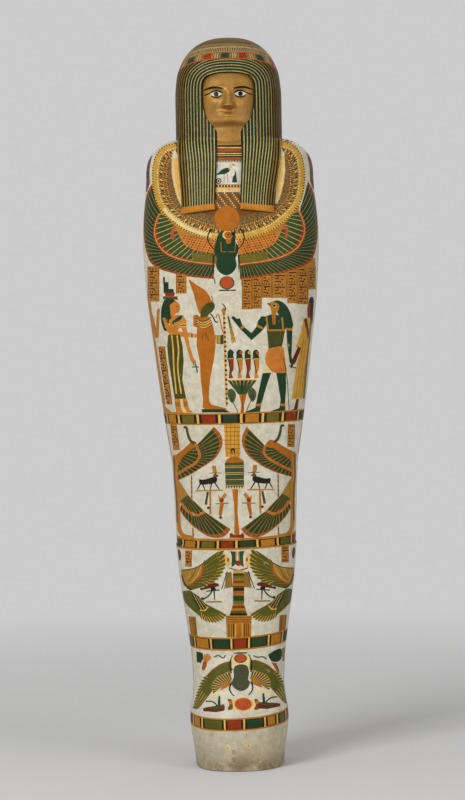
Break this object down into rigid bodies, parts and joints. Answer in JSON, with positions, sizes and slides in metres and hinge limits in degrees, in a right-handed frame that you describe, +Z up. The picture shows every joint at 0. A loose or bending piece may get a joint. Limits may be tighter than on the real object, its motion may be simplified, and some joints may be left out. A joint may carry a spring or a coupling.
{
  "type": "mummy case",
  "caption": "Standing anthropoid mummy case: painted gesso over a hollow linen shell slit up the back, moulded striped wig, gilded inlaid face and a pegged wooden footboard.",
  "frame": {"origin": "on the floor, under the middle of the foot end", "axes": "+Z up from the feet to the crown, -Y the way the face looks, +X to the viewer's right"},
  "size_m": [0.412, 0.2998, 1.7],
  "materials": {
    "linen": "matte",
    "gesso": "satin",
    "wig": "satin",
    "gilded_wood": "satin",
    "white_stone": "gloss",
    "dark_stone": "gloss",
    "wood": "matte"
  },
  "bodies": {
    "case": {"linen_shell": "linen", "gesso_skin": "gesso", "wig": "wig", "lappet_left": "wig", "lappet_right": "wig", "back_fall": "wig", "face_mask": "gilded_wood", "eye_white_left": "white_stone", "eye_white_right": "white_stone", "iris_left": "dark_stone", "iris_right": "dark_stone", "brow_left": "dark_stone", "brow_right": "dark_stone", "eye_line_left": "dark_stone", "eye_line_right": "dark_stone", "face_dowels": "wood", "footboard": "wood"},
    "front_left_peg": {"peg_front_left": "wood"},
    "front_right_peg": {"peg_front_right": "wood"},
    "side_left_peg": {"peg_side_left": "wood"},
    "side_right_peg": {"peg_side_right": "wood"},
    "heel_left_peg": {"peg_heel_left": "wood"},
    "heel_right_peg": {"peg_heel_right": "wood"}
  },
  "joints": [
    {"name": "front_left_pull", "type": "slide", "parent": "case", "child": "front_left_peg", "axis": [0, -1, 0], "range_m": [0, 0.045]},
    {"name": "front_right_pull", "type": "slide", "parent": "case", "child": "front_right_peg", "axis": [0, -1, 0], "range_m": [0, 0.045]},
    {"name": "side_left_pull", "type": "slide", "parent": "case", "child": "side_left_peg", "axis": [-1, 0, 0], "range_m": [0, 0.045]},
    {"name": "side_right_pull", "type": "slide", "parent": "case", "child": "side_right_peg", "axis": [1, 0, 0], "range_m": [0, 0.045]},
    {"name": "heel_left_pull", "type": "slide", "parent": "case", "child": "heel_left_peg", "axis": [0, 1, 0], "range_m": [0, 0.045]},
    {"name": "heel_right_pull", "type": "slide", "parent": "case", "child": "heel_right_peg", "axis": [0, 1, 0], "range_m": [0, 0.045]}
  ]
}
